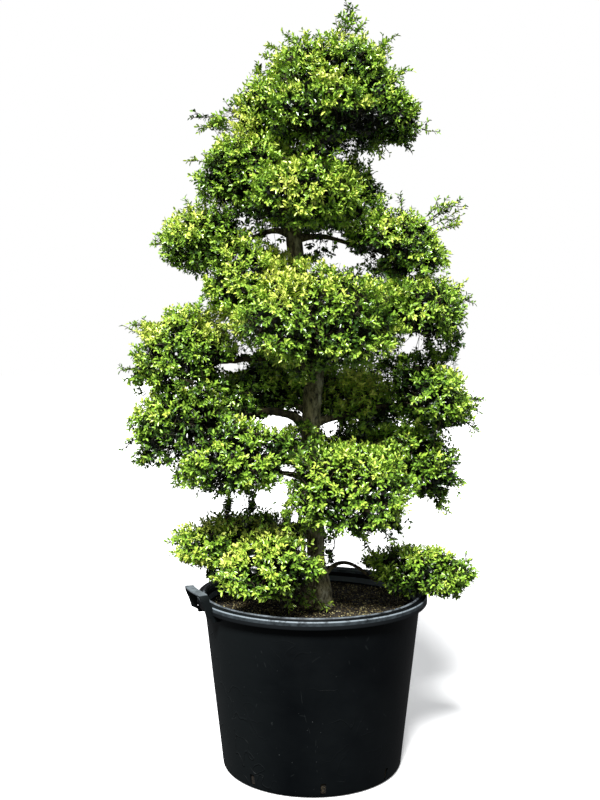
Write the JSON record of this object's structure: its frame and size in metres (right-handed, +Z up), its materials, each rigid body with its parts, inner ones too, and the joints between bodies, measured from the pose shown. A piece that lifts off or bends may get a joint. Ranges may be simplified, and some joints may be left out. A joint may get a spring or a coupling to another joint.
{
  "type": "japanese holly shrub",
  "caption": "Evergreen shrub clipped into cloud-like masses on a bare trunk, growing in a black plastic nursery container with two strap handles",
  "frame": {"origin": "centre of the container's flat underside", "axes": "+Z up along the trunk, +X to the right of the view in the picture, -Y towards the viewer"},
  "size_m": [0.9937, 0.8157, 2.125],
  "materials": {
    "pot": "matt black moulded plastic, scuffed and dusty",
    "soil": "dark compost with pale bark chips",
    "bark": "smooth grey-brown bark",
    "foliage": "small, slightly glossy leaves, light green at the tips"
  },
  "bodies": {
    "root": {"apron": "foliage", "arm_left": "foliage", "arm_right": "foliage", "bough_apron": "bark", "bough_arm_left": "bark", "bough_arm_right": "bark", "bough_brow_left": "bark", "bough_crown_back": "bark", "bough_crown_left": "bark", "bough_crown_right": "bark", "bough_hem_back": "bark", "bough_hem_front": "bark", "bough_hem_left": "bark", "bough_hem_right": "bark", "bough_low_back": "bark", "bough_low_front": "bark", "bough_low_left": "bark", "bough_low_right": "bark", "bough_shoulder_back": "bark", "bough_shoulder_left": "bark", "bough_shoulder_right": "bark", "bough_skirt_back": "bark", "bough_skirt_inner": "bark", "bough_skirt_left": "bark", "bough_skirt_right": "bark", "bough_wing_back": "bark", "bough_wing_left": "bark", "bough_wing_right": "bark", "brow_left": "foliage", "crown_back": "foliage", "crown_front": "foliage", "crown_left": "foliage", "crown_right": "foliage", "crown_top": "foliage", "handle_left": "pot", "handle_right": "pot", "hem_back": "foliage", "hem_front": "foliage", "hem_left": "foliage", "hem_right": "foliage", "low_back": "foliage", "low_front": "foliage", "low_left": "foliage", "low_right": "foliage", "pot": "pot", "shoulder_back": "foliage", "shoulder_front": "foliage", "shoulder_left": "foliage", "shoulder_right": "foliage", "skirt_back": "foliage", "skirt_inner": "foliage", "skirt_left": "foliage", "skirt_mid": "foliage", "skirt_right": "foliage", "soil": "soil", "trunk": "bark", "wing_back": "foliage", "wing_left": "foliage", "wing_right": "foliage"}
  },
  "joints": []
}
